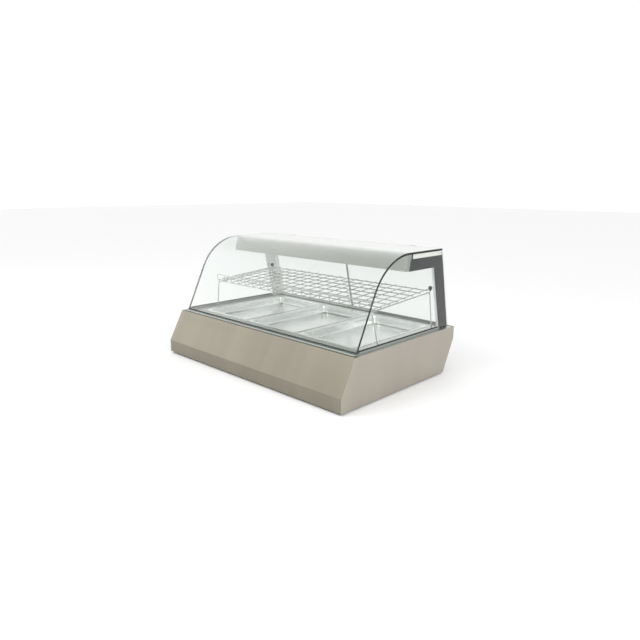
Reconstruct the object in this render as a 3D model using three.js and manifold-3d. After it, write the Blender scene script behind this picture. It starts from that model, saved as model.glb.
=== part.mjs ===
// Hot food display case: a folded steel base with a heated well and three food pans, a curved
// front glass that lifts at the rear, flat side panes, leaning end frames with sliding doors
// between them, a lamp canopy and a wire shelf.
// Millimetres, +Z up, +Y towards the service side, X across. Inside the "cabinet" group, y is
// measured from the front edge and z from the underside of the panels.

import * as THREE from 'three';
import { mergeVertices } from 'three/addons/utils/BufferGeometryUtils.js';
import Module from 'manifold-3d';

const wasm = await Module();
wasm.setup();

// ---- Driving dimensions -------------------------------------------------------------------

const GAP = 0.3;                  // air between pieces that touch
const WIDTH = 1180;
const DEPTH = 780;
const KNOB_REACH = 20;            // how far the thermostat knob stands out of the rear panel
const FOOT_HEIGHT = 8;
const BASE_HEIGHT = 205;
const SHEET = 1.5;                // folded sheet thickness
const HALF = WIDTH / 2;

const SKIRT_HEIGHT = 60;          // upright strip below the sloping front
const FRONT_SLOPE = 78;           // how far the front leans back above the skirt
const REAR_KNEE_Z = 149;
const REAR_UNDERCUT = 75;

const GLASS = 5;                  // pane thickness
const GLASS_HALF = 570;           // outer face of the side panes
const HOOD_TOP = 571;
const HOOD_RADIUS = 251;
const HOOD_ARC_Y = 432;           // the arc's centre
const HOOD_LEAN = THREE.MathUtils.degToRad(25.3);
const HOOD_BOTTOM = 214;
const HOOD_REAR_Y = 676;
const SEAL = 3;                   // rubber between hood and side panes

const WALL_LEAN = THREE.MathUtils.degToRad(12.7);
const WALL_FOOT_Y = 748;          // middle of the door plane at deck level
const wallSlope = Math.tan(WALL_LEAN);
const FRAME_INNER = 554;          // inner face of the end frames
const FRAME_OUTER = 562;
const ARM_BOTTOM = 492;
const ARM_TOP = 542;
const CANOPY_TOP = 565;
const FASCIA_DEPTH = 18;

const PAN_WIDTH = 325;
const PAN_LENGTH = 530;
const PAN_DEPTH = 40;
const PAN_PITCH = 342.5;
const PAN_Y = 435;                // middle of the pans, front to back
const PAN_BODY_WIDTH = PAN_WIDTH - 21;
const PAN_BODY_LENGTH = PAN_LENGTH - 20;

const PIVOT_Y = 693;              // the hood's hinge line
const PIVOT_Z = 566;
const KNUCKLE_RADIUS = 5;
const PIN_RADIUS = 2.4;
const BORE_RADIUS = 2.7;

// ---- Materials ----------------------------------------------------------------------------

function material(color, roughness, metalness, opacity = 1) {
  return new THREE.MeshStandardMaterial({ color, roughness, metalness, opacity, transparent: opacity < 1 });
}

const champagneSteel = material(0xaca594, 0.38, 0.85);
const steel = material(0xc4c6c5, 0.3, 0.95);
const panSteel = material(0xdcdedf, 0.22, 0.95);
const aluminium = material(0xa9aea9, 0.4, 0.9);
const anthracite = material(0x4b4c50, 0.5, 0.2);
const creamEnamel = material(0xe2e0d6, 0.45, 0.1);
const greyFascia = material(0xb9bcb5, 0.35, 0.7);
const clearGlass = material(0xdfeee6, 0.05, 0.0, 0.25);
const blackRubber = material(0x2a2c2c, 0.85, 0.0);
const blackPlastic = material(0x1f2022, 0.45, 0.0);
const whitePlastic = material(0xe9e9e4, 0.4, 0.0);
const lampGlass = material(0xfff6e0, 0.3, 0.0);
const heaterSheath = material(0x6d6a66, 0.45, 0.8);
const mineralWool = material(0xcdb98a, 0.95, 0.0);
const wireChrome = material(0xb8bcbc, 0.2, 1.0);

// ---- Shape helpers ------------------------------------------------------------------------

const yzToX = new THREE.Matrix4().makeBasis(
  new THREE.Vector3(0, 1, 0), new THREE.Vector3(0, 0, 1), new THREE.Vector3(1, 0, 0));
const xzToY = new THREE.Matrix4().makeBasis(
  new THREE.Vector3(1, 0, 0), new THREE.Vector3(0, 0, 1), new THREE.Vector3(0, -1, 0));

function polygon(points) {
  return new THREE.Shape(points.map(([a, b]) => new THREE.Vector2(a, b)));
}

function extruded(shape, depth, curveSegments = 6) {
  return new THREE.ExtrudeGeometry(shape, { depth, bevelEnabled: false, curveSegments });
}

// A (y, z) outline extruded from x0 to x1.
function alongX(shape, x0, x1, curveSegments) {
  return extruded(shape, x1 - x0, curveSegments).applyMatrix4(yzToX).translate(x0, 0, 0);
}

// An (x, z) outline extruded from y0 to y1.
function alongY(shape, y0, y1) {
  return extruded(shape, y1 - y0).applyMatrix4(xzToY).translate(0, y1, 0);
}

// An (x, y) outline extruded from z0 to z1.
function alongZ(shape, z0, z1) {
  return extruded(shape, z1 - z0).translate(0, 0, z0);
}

function box([x0, x1], [y0, y1], [z0, z1]) {
  const geometry = new THREE.BoxGeometry(x1 - x0, y1 - y0, z1 - z0);
  return geometry.translate((x0 + x1) / 2, (y0 + y1) / 2, (z0 + z1) / 2);
}

function roundedRectangle(width, length, radius) {
  const x = width / 2;
  const y = length / 2;
  const shape = new THREE.Shape();
  shape.absarc(x - radius, -y + radius, radius, -Math.PI / 2, 0);
  shape.absarc(x - radius, y - radius, radius, 0, Math.PI / 2);
  shape.absarc(-x + radius, y - radius, radius, Math.PI / 2, Math.PI);
  shape.absarc(-x + radius, -y + radius, radius, Math.PI, 1.5 * Math.PI);
  return shape;
}

function leftNormal([ay, az], [by, bz]) {
  const length = Math.hypot(by - ay, bz - az);
  return [-(bz - az) / length, (by - ay) / length];
}

// The outline of a folded sheet: a bent line thickened towards its left side.
function foldedSheet(points, thickness) {
  const inner = points.map((point, i) => {
    const before = leftNormal(points[Math.max(i - 1, 0)], points[Math.max(i, 1)]);
    const last = points.length - 1;
    const after = leftNormal(points[Math.min(i, last - 1)], points[Math.min(i + 1, last)]);
    const mitre = thickness / (1 + before[0] * after[0] + before[1] * after[1]);
    return [point[0] + mitre * (before[0] + after[0]), point[1] + mitre * (before[1] + after[1])];
  });
  return polygon([...points, ...inner.reverse()]);
}

function cylinderX(y, z, radius, x0, x1, sides = 16) {
  const geometry = new THREE.CylinderGeometry(radius, radius, x1 - x0, sides);
  return geometry.rotateZ(Math.PI / 2).translate((x0 + x1) / 2, y, z);
}

function cylinderY(x, z, radius, y0, y1, sides = 16) {
  return new THREE.CylinderGeometry(radius, radius, y1 - y0, sides).translate(x, (y0 + y1) / 2, z);
}

// A straight wire between two points.
function wire(from, to, diameter) {
  const a = new THREE.Vector3(...from);
  const b = new THREE.Vector3(...to);
  const direction = b.clone().sub(a);
  const geometry = new THREE.CylinderGeometry(diameter / 2, diameter / 2, direction.length(), 6);
  const turn = new THREE.Quaternion().setFromUnitVectors(new THREE.Vector3(0, 1, 0), direction.normalize());
  return geometry.applyQuaternion(turn).translate(...a.add(b).multiplyScalar(0.5).toArray());
}

// A round rod bent through the given points with one bend radius.
function bentRod(points, bendRadius, diameter, steps) {
  const corners = points.map((point) => new THREE.Vector3(...point));
  const path = new THREE.CurvePath();
  let start = corners[0];
  for (let i = 1; i < corners.length - 1; i += 1) {
    const towards = corners[i - 1].clone().sub(corners[i]).setLength(bendRadius).add(corners[i]);
    const away = corners[i + 1].clone().sub(corners[i]).setLength(bendRadius).add(corners[i]);
    path.add(new THREE.LineCurve3(start, towards));
    path.add(new THREE.QuadraticBezierCurve3(towards, corners[i], away));
    start = away;
  }
  path.add(new THREE.LineCurve3(start, corners[corners.length - 1]));
  const section = new THREE.Shape().absarc(0, 0, diameter / 2, 0, 2 * Math.PI);
  return new THREE.ExtrudeGeometry(section, { steps, extrudePath: path, curveSegments: 4 });
}

// ---- Joining and cutting ------------------------------------------------------------------

function toSolid(geometry) {
  const bare = geometry.clone();
  bare.deleteAttribute('normal');
  bare.deleteAttribute('uv');
  const merged = mergeVertices(bare, 1e-4);
  return new wasm.Manifold(new wasm.Mesh({
    numProp: 3,
    vertProperties: new Float32Array(merged.attributes.position.array),
    triVerts: new Uint32Array(merged.index.array),
  }));
}

function toGeometry(solid) {
  const mesh = solid.getMesh();
  const geometry = new THREE.BufferGeometry();
  geometry.setAttribute('position', new THREE.BufferAttribute(Float32Array.from(mesh.vertProperties), 3));
  geometry.setIndex(new THREE.BufferAttribute(Uint32Array.from(mesh.triVerts), 1));
  geometry.computeVertexNormals();
  return geometry;
}

function join(geometries) {
  return toGeometry(geometries.map(toSolid).reduce((whole, piece) => whole.add(piece)));
}

function cut(geometry, cutters) {
  return toGeometry(cutters.map(toSolid).reduce((whole, cutter) => whole.subtract(cutter), toSolid(geometry)));
}

// ---- Scene graph --------------------------------------------------------------------------

const displayCase = new THREE.Group();
const cabinet = new THREE.Group();
cabinet.position.set(0, -(DEPTH + KNOB_REACH) / 2, FOOT_HEIGHT);
displayCase.add(cabinet);

function add(name, geometry, surface, parent = cabinet) {
  const mesh = new THREE.Mesh(geometry, surface);
  mesh.name = name;
  parent.add(mesh);
  return mesh;
}

// Calls build(side name, sign) for the left end, then the right end.
function bothEnds(build) {
  build('left', -1);
  build('right', 1);
}

// The x range of a piece at one end, given its range on the positive side.
function endRange(sign, inner, outer) {
  return sign < 0 ? [-outer, -inner] : [inner, outer];
}

// ---- Base: folded panels, floor and feet --------------------------------------------------

const PANEL_FLANGE = 20;
const FLOOR_FLANGE = 25;
const panelEnd = HALF - SHEET - GAP;

function frontPanel() {
  const outline = foldedSheet([
    [FRONT_SLOPE + PANEL_FLANGE, BASE_HEIGHT], [FRONT_SLOPE, BASE_HEIGHT],
    [0, SKIRT_HEIGHT], [0, 0], [FLOOR_FLANGE, 0],
  ], SHEET);
  return alongX(outline, -panelEnd, panelEnd);
}

function endPanel(sign) {
  const outline = polygon([
    [0, 0], [0, SKIRT_HEIGHT], [FRONT_SLOPE, BASE_HEIGHT],
    [DEPTH, BASE_HEIGHT], [DEPTH, REAR_KNEE_Z], [DEPTH - REAR_UNDERCUT, 0],
  ]);
  return alongX(outline, ...endRange(sign, HALF - SHEET, HALF));
}

const CONTROL_Z = (REAR_KNEE_Z + BASE_HEIGHT) / 2;
const KNOB_X = -420;
const DISPLAY_X = -330;
const DISPLAY_SIZE = [60, 26];
const SWITCHES = { heat_switch: -252, light_switch: -214 };
const SWITCH_OPENING = [19, 31];
const GLAND_X = 480;
const VENT_COUNT = 12;
const VENT_PITCH = 14;
const rearSlope = Math.atan2(REAR_UNDERCUT, REAR_KNEE_Z);
const slopeMiddle = [DEPTH - REAR_UNDERCUT / 2, REAR_KNEE_Z / 2];

// Turns a shape made round a y axis at the origin so that it stands square to the rear slope.
function onRearSlope(geometry, x) {
  return geometry.rotateX(-rearSlope).translate(x, ...slopeMiddle);
}

function rearPanel() {
  const outline = foldedSheet([
    [DEPTH - REAR_UNDERCUT - FLOOR_FLANGE, 0], [DEPTH - REAR_UNDERCUT, 0], [DEPTH, REAR_KNEE_Z],
    [DEPTH, BASE_HEIGHT], [DEPTH - PANEL_FLANGE, BASE_HEIGHT],
  ], SHEET);
  const through = [DEPTH - 10, DEPTH + 10];
  const [displayWidth, displayHeight] = DISPLAY_SIZE;
  const [switchWidth, switchHeight] = SWITCH_OPENING;
  const around = (middle, size) => [middle - size / 2, middle + size / 2];
  const vents = [];
  for (let i = 0; i < VENT_COUNT; i += 1) {
    const slot = box([-2.5, 2.5], [-10, 10], [-30, 30]);
    vents.push(onRearSlope(slot, (i - (VENT_COUNT - 1) / 2) * VENT_PITCH));
  }
  return cut(alongX(outline, -panelEnd, panelEnd), [
    cylinderY(KNOB_X, CONTROL_Z, 5.5, ...through),
    box(around(DISPLAY_X, displayWidth), through, around(CONTROL_Z, displayHeight)),
    ...Object.values(SWITCHES).map((x) =>
      box(around(x, switchWidth), through, around(CONTROL_Z, switchHeight))),
    onRearSlope(cylinderY(0, 0, 8.3, -10, 10), GLAND_X),
    ...vents,
  ]);
}

add('front_panel', frontPanel(), champagneSteel);
bothEnds((side, sign) => add(`${side}_end_panel`, endPanel(sign), champagneSteel));
add('rear_panel', rearPanel(), champagneSteel);
add('base_floor', box([-panelEnd, panelEnd],
  [FLOOR_FLANGE + GAP, DEPTH - REAR_UNDERCUT - FLOOR_FLANGE - GAP], [0, SHEET]), steel);

const FOOT_RADIUS = 18;
const FOOT_SPOTS = { front_left: [-500, 90], front_right: [500, 90], rear_left: [-500, 620], rear_right: [500, 620] };
for (const [spot, [x, y]] of Object.entries(FOOT_SPOTS)) {
  const foot = new THREE.CylinderGeometry(FOOT_RADIUS, FOOT_RADIUS - 2, FOOT_HEIGHT - GAP, 20);
  foot.rotateX(Math.PI / 2).translate(x, y, -(FOOT_HEIGHT + GAP) / 2);
  add(`foot_${spot}`, foot, blackRubber);
}

// ---- Heated well: deck, tub, insulation, heating elements and pans -------------------------

const deckTop = BASE_HEIGHT;
const deckFront = FRONT_SLOPE + PANEL_FLANGE + GAP;
const deckRear = DEPTH - PANEL_FLANGE - GAP;
const panCentres = { left: -PAN_PITCH, centre: 0, right: PAN_PITCH };

// A square-cornered opening, which the pan's rim covers.
function panOpening(x, clearance) {
  const halfWidth = PAN_BODY_WIDTH / 2 + clearance;
  const halfLength = PAN_BODY_LENGTH / 2 + clearance;
  return box([x - halfWidth, x + halfWidth], [PAN_Y - halfLength, PAN_Y + halfLength], [deckTop - 10, deckTop + 10]);
}

const deckPlate = box([-panelEnd, panelEnd], [deckFront, deckRear], [deckTop - SHEET, deckTop]);
add('deck', cut(deckPlate, Object.values(panCentres).map((x) => panOpening(x, 3))), steel);

const TUB_HALF_WIDTH = 505;
const TUB_FRONT = 172;
const TUB_REAR = 698;
const TUB_FLOOR = 60;
const tubTop = deckTop - SHEET - GAP;
const ELEMENT_Z = 95;
const ELEMENT_DIAMETER = 8.5;
const ELEMENT_TAIL_Y = 728;
const elementTails = [-440, -320, 320, 440];

function elementHoles(radius) {
  return elementTails.map((x) => cylinderY(x, ELEMENT_Z, radius, TUB_REAR - 40, TUB_REAR + 40, 10));
}

function openTub([halfWidth, front, rear, bottom], thickness, top) {
  const outside = box([-halfWidth, halfWidth], [front, rear], [bottom, top]);
  const inside = box([-halfWidth + thickness, halfWidth - thickness],
    [front + thickness, rear - thickness], [bottom + thickness, top + 1]);
  return cut(outside, [inside, ...elementHoles(ELEMENT_DIAMETER / 2 + 1)]);
}

const WOOL = 20;
add('well_tub', openTub([TUB_HALF_WIDTH, TUB_FRONT, TUB_REAR, TUB_FLOOR], 1, tubTop), steel);
add('well_insulation', openTub([TUB_HALF_WIDTH + GAP + WOOL, TUB_FRONT - GAP - WOOL,
  TUB_REAR + GAP + WOOL, TUB_FLOOR - GAP - WOOL], WOOL, tubTop - 4), mineralWool);

// Each tubular element goes in at the rear, makes two long passes and comes out again.
bothEnds((side, sign) => {
  const at = (x, y) => [sign * x, y, ELEMENT_Z];
  const loop = [at(440, ELEMENT_TAIL_Y), at(440, 250), at(60, 250), at(60, 400), at(320, 400), at(320, ELEMENT_TAIL_Y)];
  add(`heating_element_${side}`, bentRod(loop, 40, ELEMENT_DIAMETER, 64), heaterSheath);
});

function foodPan(x) {
  const rimBottom = deckTop + GAP;
  const rim = alongZ(roundedRectangle(PAN_WIDTH, PAN_LENGTH, 18), rimBottom, rimBottom + 1);
  const body = alongZ(roundedRectangle(PAN_BODY_WIDTH, PAN_BODY_LENGTH, 38), rimBottom + 1 - PAN_DEPTH, rimBottom + 1);
  const hollow = alongZ(roundedRectangle(PAN_BODY_WIDTH - 2, PAN_BODY_LENGTH - 2, 37), rimBottom + 2 - PAN_DEPTH, rimBottom + 2);
  return cut(join([rim, body]), [hollow]).translate(x, PAN_Y, 0);
}

for (const [place, x] of Object.entries(panCentres)) add(`pan_${place}`, foodPan(x), panSteel);

// ---- Sills that the glass stands in --------------------------------------------------------

const sillBottom = deckTop + GAP;
const FRONT_SILL_TOP = 211;
const FRONT_SILL_REAR = 117.7;
const LEDGE_REAR = 160;
const SIDE_SILL_TOP = 216;
const SIDE_GROOVE = FRONT_SILL_TOP + 0.8;
const SILL_INNER = 558;
const SILL_OUTER = 575;

const frontSill = polygon([
  [86, sillBottom], [86, 208], [89, FRONT_SILL_TOP],
  [FRONT_SILL_REAR, FRONT_SILL_TOP], [FRONT_SILL_REAR, sillBottom],
]);
add('front_sill', alongX(frontSill, -SILL_OUTER, SILL_OUTER), aluminium);

const frontLedge = polygon([
  [FRONT_SILL_REAR + GAP, sillBottom], [FRONT_SILL_REAR + GAP, 209.5], [124, 209.5], [126, 207.5],
  [LEDGE_REAR - 2, 207.5], [LEDGE_REAR, sillBottom],
]);
add('front_ledge', alongX(frontLedge, -SILL_INNER + GAP, SILL_INNER - GAP), aluminium);

const frameFootFront = WALL_FOOT_Y - 68;   // front edge of the end frames at deck level

// The y, at height z, of a line parallel to the rear wall that starts at footY on the deck.
function leaningY(footY, z) {
  return footY - wallSlope * (z - deckTop);
}

const sideSillEnd = leaningY(frameFootFront, SIDE_SILL_TOP) - GAP;
bothEnds((side, sign) => {
  const grooveIn = GLASS_HALF - GLASS - 0.6;
  const grooveOut = GLASS_HALF + 0.6;
  const outline = polygon([
    [SILL_INNER, sillBottom], [SILL_OUTER, sillBottom], [SILL_OUTER, SIDE_SILL_TOP],
    [grooveOut, SIDE_SILL_TOP], [grooveOut, SIDE_GROOVE], [grooveIn, SIDE_GROOVE],
    [grooveIn, SIDE_SILL_TOP], [SILL_INNER, SIDE_SILL_TOP],
  ].map(([x, z]) => [sign * x, z]));
  add(`${side}_sill`, alongY(outline, FRONT_SILL_REAR + GAP, sideSillEnd), aluminium);
});

// ---- Curved front glass, side panes and their seals ----------------------------------------

// The hood's line: straight and leaning at the front, an arc, then flat over the canopy.
// Each layer follows it at its own distance inside the outer face.
const arcCentreZ = HOOD_TOP - HOOD_RADIUS;
const arcStart = Math.PI - HOOD_LEAN;

// Where the straight front runs into the arc.
function hoodShoulder(inset) {
  const radius = HOOD_RADIUS - inset;
  return [HOOD_ARC_Y - radius * Math.cos(HOOD_LEAN), arcCentreZ + radius * Math.sin(HOOD_LEAN)];
}

function hoodFrontY(inset, z) {
  const [shoulderY, shoulderZ] = hoodShoulder(inset);
  return shoulderY - (shoulderZ - z) * Math.tan(HOOD_LEAN);
}

// The strip between two layers, from height z up and round to the rear.
function hoodStrip(outerInset, innerInset, z, rearY) {
  const shape = new THREE.Shape();
  shape.moveTo(hoodFrontY(outerInset, z), z);
  shape.lineTo(...hoodShoulder(outerInset));
  shape.absarc(HOOD_ARC_Y, arcCentreZ, HOOD_RADIUS - outerInset, arcStart, Math.PI / 2, true);
  shape.lineTo(rearY, HOOD_TOP - outerInset);
  shape.lineTo(rearY, HOOD_TOP - innerInset);
  shape.absarc(HOOD_ARC_Y, arcCentreZ, HOOD_RADIUS - innerInset, Math.PI / 2, arcStart, false);
  shape.lineTo(hoodFrontY(innerInset, z), z);
  return shape;
}

const sealOuter = GLASS + GAP;
const sealInner = sealOuter + SEAL;
const paneInset = sealInner + GAP;
const paneBottom = SIDE_GROOVE + 0.5;
function sidePane(sign) {
  const shape = new THREE.Shape();
  shape.moveTo(hoodFrontY(paneInset, paneBottom), paneBottom);
  shape.lineTo(...hoodShoulder(paneInset));
  shape.absarc(HOOD_ARC_Y, arcCentreZ, HOOD_RADIUS - paneInset, arcStart, Math.PI / 2, true);
  shape.lineTo(HOOD_REAR_Y - 2, HOOD_TOP - paneInset);
  shape.lineTo(WALL_FOOT_Y, paneBottom);
  return alongX(shape, ...endRange(sign, GLASS_HALF - GLASS, GLASS_HALF), 16);
}

const hood = hoodStrip(0, GLASS, HOOD_BOTTOM, HOOD_REAR_Y);
add('curved_glass', alongX(hood, -GLASS_HALF, GLASS_HALF, 16), clearGlass);
bothEnds((side, sign) => {
  const seal = hoodStrip(sealOuter, sealInner, HOOD_BOTTOM, HOOD_REAR_Y - 2);
  add(`${side}_glass_seal`, alongX(seal, ...endRange(sign, GLASS_HALF - GLASS, GLASS_HALF), 16), blackRubber);
  add(`${side}_side_glass`, sidePane(sign), clearGlass);
});
const frontSeal = polygon([
  [hoodFrontY(0, HOOD_BOTTOM) - 1, FRONT_SILL_TOP + GAP], [hoodFrontY(0, HOOD_BOTTOM) - 1, HOOD_BOTTOM - GAP],
  [hoodFrontY(GLASS, HOOD_BOTTOM), HOOD_BOTTOM - GAP], [hoodFrontY(GLASS, HOOD_BOTTOM), FRONT_SILL_TOP + GAP],
]);
add('front_glass_seal', alongX(frontSeal, -GLASS_HALF, GLASS_HALF), blackRubber);

// ---- End frames, their dark covers and the canopy ------------------------------------------

const FASCIA_BOTTOM = 493;
const FASCIA_TOP = 563;
const FASCIA_BOTTOM_Y = 416;
const fasciaSlope = 16 / (FASCIA_TOP - FASCIA_BOTTOM);
const CANOPY_HALF = 564;
const HOUSING_FRONT = 462;
const HOUSING_REAR = 661;

// The y of the fascia's front face at height z.
function fasciaY(z) {
  return FASCIA_BOTTOM_Y + fasciaSlope * (z - FASCIA_BOTTOM);
}

const FRAME_REAR_FOOT = 773;
const armTipY = (z) => fasciaY(z) + FASCIA_DEPTH + 0.5;

const endFrameOutline = polygon([
  [leaningY(frameFootFront, sillBottom), sillBottom], [leaningY(frameFootFront, ARM_BOTTOM), ARM_BOTTOM],
  [armTipY(ARM_BOTTOM), ARM_BOTTOM], [armTipY(ARM_TOP), ARM_TOP],
  [HOUSING_REAR + GAP, ARM_TOP], [HOUSING_REAR + GAP, CANOPY_TOP],
  [leaningY(FRAME_REAR_FOOT, CANOPY_TOP), CANOPY_TOP], [leaningY(FRAME_REAR_FOOT, sillBottom), sillBottom],
]);

const COVER_FRONT_FOOT = 688;
const COVER_REAR_FOOT = 754;
const coverBottom = deckTop + 1;
const postCoverOutline = polygon([
  [leaningY(COVER_FRONT_FOOT, coverBottom), coverBottom], [leaningY(COVER_FRONT_FOOT, ARM_BOTTOM), ARM_BOTTOM],
  [armTipY(ARM_BOTTOM), ARM_BOTTOM], [armTipY(ARM_TOP), ARM_TOP],
  [452, ARM_TOP], [452, FASCIA_TOP - 1], [458, FASCIA_TOP - 1], [458, ARM_TOP],
  [leaningY(COVER_REAR_FOOT, ARM_TOP), ARM_TOP], [leaningY(COVER_REAR_FOOT, coverBottom), coverBottom],
]);

bothEnds((side, sign) => {
  add(`${side}_end_frame`, alongX(endFrameOutline, ...endRange(sign, FRAME_INNER, FRAME_OUTER)), steel);
  const cover = alongX(postCoverOutline, ...endRange(sign, FRAME_OUTER + GAP, GLASS_HALF - GLASS - GAP));
  add(`${side}_post_cover`, cover, anthracite);
});

function fascia() {
  const lip = (z) => [fasciaY(z) + FASCIA_DEPTH, z];
  const channel = foldedSheet([
    lip(FASCIA_TOP), [fasciaY(FASCIA_TOP), FASCIA_TOP], [FASCIA_BOTTOM_Y, FASCIA_BOTTOM], lip(FASCIA_BOTTOM),
  ], SHEET);
  const closing = polygon([
    [fasciaY(FASCIA_TOP), FASCIA_TOP], [FASCIA_BOTTOM_Y, FASCIA_BOTTOM], lip(FASCIA_BOTTOM), lip(FASCIA_TOP),
  ]);
  return join([
    alongX(channel, -CANOPY_HALF, CANOPY_HALF),
    alongX(closing, -CANOPY_HALF, -CANOPY_HALF + SHEET),
    alongX(closing, CANOPY_HALF - SHEET, CANOPY_HALF),
  ]);
}
add('fascia', fascia(), greyFascia);

const housingBottom = ARM_TOP + GAP;
const housingOutside = box([-CANOPY_HALF, CANOPY_HALF], [HOUSING_FRONT, HOUSING_REAR], [housingBottom, CANOPY_TOP]);
const housingInside = box([-CANOPY_HALF + SHEET, CANOPY_HALF - SHEET],
  [HOUSING_FRONT + SHEET, HOUSING_REAR - SHEET], [housingBottom - 1, CANOPY_TOP - SHEET]);
add('lamp_housing', cut(housingOutside, [housingInside]), creamEnamel);

const LAMP_Y = 560;
const LAMP_Z = 531;
const LAMP_HALF = 470;
const REFLECTOR_TOP = 561;
const reflector = foldedSheet([
  [470, 545], [486, REFLECTOR_TOP], [640, REFLECTOR_TOP], [656, 545],
].reverse(), 1);
add('lamp_reflector', alongX(reflector, -FRAME_INNER + 2, FRAME_INNER - 2), panSteel);
add('lamp_tube', cylinderX(LAMP_Y, LAMP_Z, 8, -LAMP_HALF, LAMP_HALF, 20), lampGlass);
bothEnds((side, sign) => {
  const socket = box(endRange(sign, LAMP_HALF + GAP, LAMP_HALF + 26), [LAMP_Y - 12, LAMP_Y + 12],
    [LAMP_Z - 12, REFLECTOR_TOP - 1 - GAP]);
  add(`lamp_socket_${side}`, socket, whitePlastic);
});

// ---- Rear wall: tracks and sliding doors ---------------------------------------------------

// The point (y, z) at height v up the leaning door plane and n behind its middle.
function onWall(v, n) {
  return [
    WALL_FOOT_Y - v * Math.sin(WALL_LEAN) + n * Math.cos(WALL_LEAN),
    sillBottom + v * Math.cos(WALL_LEAN) + n * Math.sin(WALL_LEAN),
  ];
}

const TRACK_HALF = 13;
const RIB = 2;
const BOTTOM_GROOVE = 2.5;
const BOTTOM_RIB_TOP = 7;
const TOP_RIB_END = 330;
const TOP_GROOVE = 338;

// A track's two grooves, drawn from the front rib to the rear rib.
function grooves(ribEnd, grooveEnd) {
  const edge = TRACK_HALF - RIB;
  return [
    onWall(ribEnd, -TRACK_HALF), onWall(ribEnd, -edge), onWall(grooveEnd, -edge),
    onWall(grooveEnd, -RIB / 2), onWall(ribEnd, -RIB / 2), onWall(ribEnd, RIB / 2), onWall(grooveEnd, RIB / 2),
    onWall(grooveEnd, edge), onWall(ribEnd, edge), onWall(ribEnd, TRACK_HALF),
  ];
}

const trackHalf = FRAME_INNER - GAP;
const bottomTrack = polygon([
  [WALL_FOOT_Y - TRACK_HALF, sillBottom], ...grooves(BOTTOM_RIB_TOP, BOTTOM_GROOVE),
  [WALL_FOOT_Y + TRACK_HALF, sillBottom],
]);
add('door_bottom_track', alongX(bottomTrack, -trackHalf, trackHalf), aluminium);

const RAIL_TOP = 563;
const RAIL_REAR = 690.4;
const HINGE_FOOT_Z = 534;
const topRail = polygon([
  [HOUSING_REAR + GAP, RAIL_TOP], ...grooves(TOP_RIB_END, TOP_GROOVE),
  [RAIL_REAR, HINGE_FOOT_Z], [RAIL_REAR, RAIL_TOP - 2.5], [RAIL_REAR - 3, RAIL_TOP],
]);
add('rear_top_rail', alongX(topRail, -trackHalf, trackHalf), aluminium);

// The doors are drawn upright in a group that leans with the wall: z runs up the wall.
const rearWall = new THREE.Group();
rearWall.position.set(0, WALL_FOOT_Y, sillBottom);
rearWall.rotation.x = WALL_LEAN;
cabinet.add(rearWall);

const DOOR_GLASS = 4;
const DOOR_OFFSET = 6;            // each door's distance from the middle of the door plane
const DOOR_OVERLAP = 6;
const DOOR_EDGE = 7;
const DOOR_BOTTOM = BOTTOM_GROOVE + 0.6;
const DOOR_TOP = TOP_GROOVE - 1.6;

// The right door runs behind the left one. Each has an edge profile that is also its pull.
bothEnds((side, sign) => {
  const n = sign * DOOR_OFFSET;
  const meeting = -sign * DOOR_OVERLAP;
  const outer = sign * (trackHalf - 1);
  const span = [Math.min(meeting, outer), Math.max(meeting, outer)];
  add(`${side}_door_glass`, box(span, [n - DOOR_GLASS / 2, n + DOOR_GLASS / 2], [DOOR_BOTTOM, DOOR_TOP]),
    clearGlass, rearWall);
  const halfSlot = DOOR_GLASS / 2 + GAP;
  const edge = polygon([
    [0, -DOOR_EDGE / 2], [0, DOOR_EDGE / 2], [7, DOOR_EDGE / 2], [7, halfSlot],
    [2, halfSlot], [2, -halfSlot], [7, -halfSlot], [7, -DOOR_EDGE / 2],
  ].map(([x, y]) => [meeting - sign * (2 + GAP) + sign * x, n + y]));
  add(`${side}_door_edge`, alongZ(edge, BOTTOM_RIB_TOP + 1, TOP_RIB_END - 1), aluminium, rearWall);
});

// ---- Hinges of the curved glass ------------------------------------------------------------

const HINGE_X = 400;
const HINGE_HALF = 15;
const MOVING_KNUCKLE_HALF = 6.5;

function knuckle(x0, x1) {
  return cylinderX(PIVOT_Y, PIVOT_Z, KNUCKLE_RADIUS, x0, x1);
}

bothEnds((side, sign) => {
  const x = sign * HINGE_X;
  const bore = cylinderX(PIVOT_Y, PIVOT_Z, BORE_RADIUS, x - 2 * HINGE_HALF, x + 2 * HINGE_HALF);
  const leafDepth = [RAIL_REAR + GAP, RAIL_REAR + GAP + 2.4];
  const leaf = join([
    box([x - HINGE_HALF, x + HINGE_HALF], leafDepth, [HINGE_FOOT_Z, 556]),
    box([x - HINGE_HALF, x - MOVING_KNUCKLE_HALF - 1], leafDepth, [555, PIVOT_Z]),
    box([x + MOVING_KNUCKLE_HALF + 1, x + HINGE_HALF], leafDepth, [555, PIVOT_Z]),
    knuckle(x - HINGE_HALF, x - MOVING_KNUCKLE_HALF - 1),
    knuckle(x + MOVING_KNUCKLE_HALF + 1, x + HINGE_HALF),
  ]);
  add(`hinge_leaf_${side}`, cut(leaf, [bore]), steel);
  const plate = [RAIL_TOP + GAP, HOOD_TOP - GLASS - GAP];   // under the pane, over the rail
  const clamp = join([
    box([x - 20, x + 20], [662.5, 685], plate),
    box([x - MOVING_KNUCKLE_HALF, x + MOVING_KNUCKLE_HALF], [684, PIVOT_Y], plate),
    knuckle(x - MOVING_KNUCKLE_HALF, x + MOVING_KNUCKLE_HALF),
  ]);
  add(`glass_clamp_${side}`, cut(clamp, [bore]), steel);
  add(`hinge_pin_${side}`, cylinderX(PIVOT_Y, PIVOT_Z, PIN_RADIUS, x - HINGE_HALF - 2, x + HINGE_HALF + 2), steel);
});

// ---- Wire shelf ----------------------------------------------------------------------------

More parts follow.
